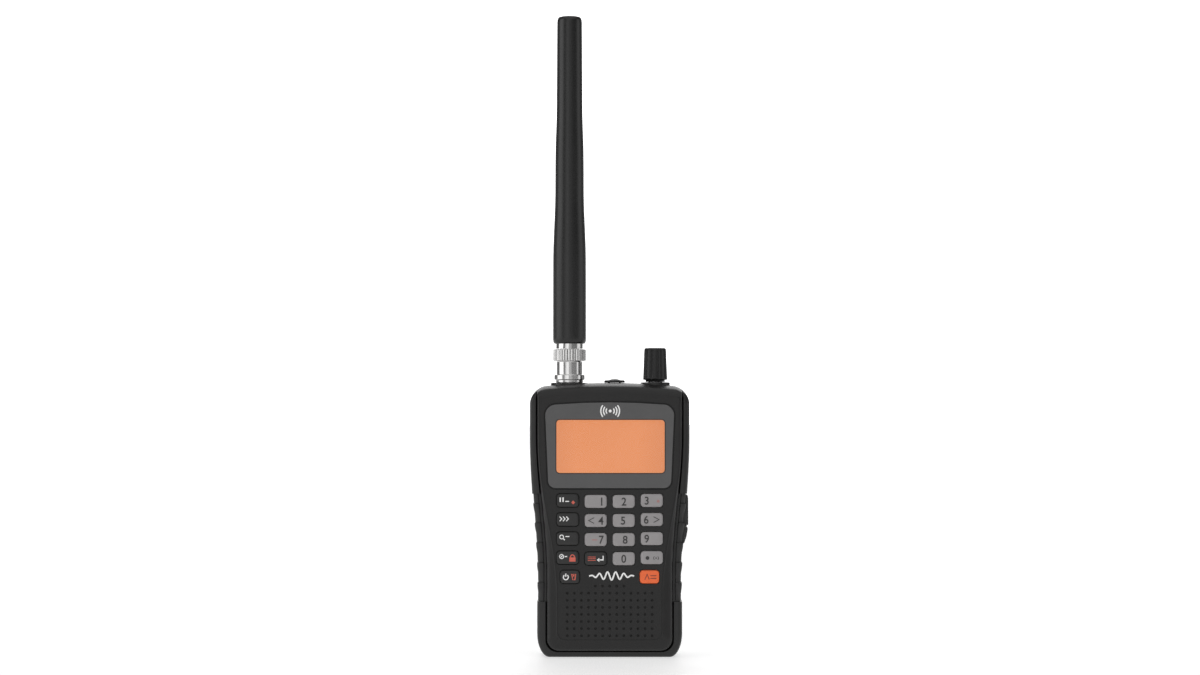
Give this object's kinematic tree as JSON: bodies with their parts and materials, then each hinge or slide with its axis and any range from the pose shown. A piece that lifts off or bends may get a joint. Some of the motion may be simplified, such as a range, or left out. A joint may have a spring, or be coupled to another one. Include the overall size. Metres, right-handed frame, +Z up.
{
  "type": "police scanner",
  "caption": "Handheld radio scanner with a bayonet whip antenna, orange display, sliding keys, volume knob, earphone socket cover, battery door and sprung belt clip.",
  "frame": {"origin": "centre of the flat base the scanner stands on", "axes": "+Z up along the antenna, -Y out of the front panel with the display and keys, +X to the right as seen from the front"},
  "size_m": [0.067, 0.0425, 0.2703],
  "materials": {
    "front_plastic": "satin",
    "rear_plastic": "satin",
    "grip_rubber": "matte",
    "window_lens": "gloss",
    "lcd_panel": "satin",
    "white_plastic": "satin",
    "mat_rubber": "matte",
    "circuit_board": "gloss",
    "tinned_steel": "satin",
    "black_resin": "satin",
    "speaker_paper": "matte",
    "magnet_steel": "satin",
    "grille_cloth": "matte",
    "nickel": "gloss",
    "gold_contact": "gloss",
    "battery_sleeve": "gloss",
    "black_screw": "satin",
    "spring_steel": "gloss",
    "cover_rubber": "matte",
    "knob_plastic": "satin",
    "whip_rubber": "satin",
    "copper_wire": "gloss",
    "orange_key": "satin",
    "dark_key": "satin",
    "grey_key": "satin",
    "white_print": "satin",
    "dark_print": "satin",
    "orange_print": "satin"
  },
  "bodies": {
    "case": {"front_case": "front_plastic", "rear_case": "rear_plastic", "left_grip": "grip_rubber", "right_grip": "grip_rubber", "display_window": "window_lens", "lcd_glass": "lcd_panel", "lcd_holder": "white_plastic", "keypad_mat": "mat_rubber", "key_board": "circuit_board", "main_board": "circuit_board", "rf_shield": "tinned_steel", "board_chips": "black_resin", "speaker_frame": "tinned_steel", "speaker_cone": "speaker_paper", "speaker_magnet": "magnet_steel", "speaker_cloth": "grille_cloth", "antenna_jack": "nickel", "jack_insulator": "white_plastic", "jack_contact": "gold_contact", "jack_nut": "nickel", "volume_pot": "tinned_steel", "earphone_jack": "black_resin", "usb_port": "tinned_steel", "battery_cells": "battery_sleeve", "battery_contacts": "nickel", "case_screws": "black_screw", "board_screws": "tinned_steel", "clip_bracket": "rear_plastic", "clip_pin": "tinned_steel", "clip_spring": "spring_steel"},
    "cover": {"jack_cover": "cover_rubber"},
    "flap": {"port_cover": "grip_rubber"},
    "door": {"battery_door": "rear_plastic"},
    "clip": {"belt_clip": "rear_plastic"},
    "volume": {"volume_knob": "knob_plastic", "volume_shaft": "tinned_steel"},
    "nut": {"coupling_nut": "nickel"},
    "whip": {"retaining_ring": "spring_steel", "plug_body": "nickel", "plug_pin": "gold_contact", "whip_sheath": "whip_rubber", "whip_coil": "copper_wire"},
    "key_hold_body": {"key_hold": "dark_key"},
    "key_1_body": {"key_1": "grey_key"},
    "key_2_body": {"key_2": "grey_key"},
    "key_3_body": {"key_3": "grey_key"},
    "key_scan_body": {"key_scan": "dark_key"},
    "key_4_body": {"key_4": "grey_key"},
    "key_5_body": {"key_5": "grey_key"},
    "key_6_body": {"key_6": "grey_key"},
    "key_search_body": {"key_search": "dark_key"},
    "key_7_body": {"key_7": "grey_key"},
    "key_8_body": {"key_8": "grey_key"},
    "key_9_body": {"key_9": "grey_key"},
    "key_lockout_body": {"key_lockout": "dark_key"},
    "key_enter_body": {"key_enter": "dark_key"},
    "key_0_body": {"key_0": "grey_key"},
    "key_dot_body": {"key_dot": "grey_key"},
    "key_power_body": {"key_power": "dark_key"},
    "key_function_body": {"key_function": "orange_key"}
  },
  "joints": [
    {"name": "jack_cover_open", "type": "hinge", "parent": "case", "child": "cover", "pos_m": [0.0021, 0.0067, 0.1155], "axis": [-1, 0, 0], "range_deg": [0, 110]},
    {"name": "port_cover_open", "type": "hinge", "parent": "case", "child": "flap", "pos_m": [0.03225, -0.0027, 0.0672], "axis": [0, -1, 0], "range_deg": [0, 100]},
    {"name": "battery_door_slide", "type": "slide", "parent": "case", "child": "door", "axis": [0, 0, -1], "range_m": [0, 0.058]},
    {"name": "belt_clip_open", "type": "hinge", "parent": "case", "child": "clip", "pos_m": [0, 0.0204, 0.096], "axis": [1, 0, 0], "range_deg": [0, 18], "stiffness_Nm_per_rad": 0.6, "springref_deg": -11.46, "deforming": ["clip_spring"]},
    {"name": "volume_turn", "type": "hinge", "parent": "case", "child": "volume", "pos_m": [0.0193, 0.0005, 0.12], "axis": [0, 0, 1], "range_deg": [-300, 0]},
    {"name": "antenna_nut_turn", "type": "hinge", "parent": "case", "child": "nut", "pos_m": [-0.01695, 0.0005, 0.12], "axis": [0, 0, 1], "range_deg": [0, 90]},
    {"name": "whip_turn", "type": "hinge", "parent": "case", "child": "whip", "pos_m": [-0.01695, 0.0005, 0.12], "axis": [0, 0, 1], "continuous": true},
    {"name": "key_hold_press", "type": "slide", "parent": "case", "child": "key_hold_body", "axis": [0, 1, 0], "range_m": [0, 0.0008], "stiffness_N_per_m": 1000, "springref_m": -0.0005},
    {"name": "key_1_press", "type": "slide", "parent": "case", "child": "key_1_body", "axis": [0, 1, 0], "range_m": [0, 0.0008], "stiffness_N_per_m": 1000, "springref_m": -0.0005},
    {"name": "key_2_press", "type": "slide", "parent": "case", "child": "key_2_body", "axis": [0, 1, 0], "range_m": [0, 0.0008], "stiffness_N_per_m": 1000, "springref_m": -0.0005},
    {"name": "key_3_press", "type": "slide", "parent": "case", "child": "key_3_body", "axis": [0, 1, 0], "range_m": [0, 0.0008], "stiffness_N_per_m": 1000, "springref_m": -0.0005},
    {"name": "key_scan_press", "type": "slide", "parent": "case", "child": "key_scan_body", "axis": [0, 1, 0], "range_m": [0, 0.0008], "stiffness_N_per_m": 1000, "springref_m": -0.0005},
    {"name": "key_4_press", "type": "slide", "parent": "case", "child": "key_4_body", "axis": [0, 1, 0], "range_m": [0, 0.0008], "stiffness_N_per_m": 1000, "springref_m": -0.0005},
    {"name": "key_5_press", "type": "slide", "parent": "case", "child": "key_5_body", "axis": [0, 1, 0], "range_m": [0, 0.0008], "stiffness_N_per_m": 1000, "springref_m": -0.0005},
    {"name": "key_6_press", "type": "slide", "parent": "case", "child": "key_6_body", "axis": [0, 1, 0], "range_m": [0, 0.0008], "stiffness_N_per_m": 1000, "springref_m": -0.0005},
    {"name": "key_search_press", "type": "slide", "parent": "case", "child": "key_search_body", "axis": [0, 1, 0], "range_m": [0, 0.0008], "stiffness_N_per_m": 1000, "springref_m": -0.0005},
    {"name": "key_7_press", "type": "slide", "parent": "case", "child": "key_7_body", "axis": [0, 1, 0], "range_m": [0, 0.0008], "stiffness_N_per_m": 1000, "springref_m": -0.0005},
    {"name": "key_8_press", "type": "slide", "parent": "case", "child": "key_8_body", "axis": [0, 1, 0], "range_m": [0, 0.0008], "stiffness_N_per_m": 1000, "springref_m": -0.0005},
    {"name": "key_9_press", "type": "slide", "parent": "case", "child": "key_9_body", "axis": [0, 1, 0], "range_m": [0, 0.0008], "stiffness_N_per_m": 1000, "springref_m": -0.0005},
    {"name": "key_lockout_press", "type": "slide", "parent": "case", "child": "key_lockout_body", "axis": [0, 1, 0], "range_m": [0, 0.0008], "stiffness_N_per_m": 1000, "springref_m": -0.0005},
    {"name": "key_enter_press", "type": "slide", "parent": "case", "child": "key_enter_body", "axis": [0, 1, 0], "range_m": [0, 0.0008], "stiffness_N_per_m": 1000, "springref_m": -0.0005},
    {"name": "key_0_press", "type": "slide", "parent": "case", "child": "key_0_body", "axis": [0, 1, 0], "range_m": [0, 0.0008], "stiffness_N_per_m": 1000, "springref_m": -0.0005},
    {"name": "key_dot_press", "type": "slide", "parent": "case", "child": "key_dot_body", "axis": [0, 1, 0], "range_m": [0, 0.0008], "stiffness_N_per_m": 1000, "springref_m": -0.0005},
    {"name": "key_power_press", "type": "slide", "parent": "case", "child": "key_power_body", "axis": [0, 1, 0], "range_m": [0, 0.0008], "stiffness_N_per_m": 1000, "springref_m": -0.0005},
    {"name": "key_function_press", "type": "slide", "parent": "case", "child": "key_function_body", "axis": [0, 1, 0], "range_m": [0, 0.0008], "stiffness_N_per_m": 1000, "springref_m": -0.0005}
  ]
}
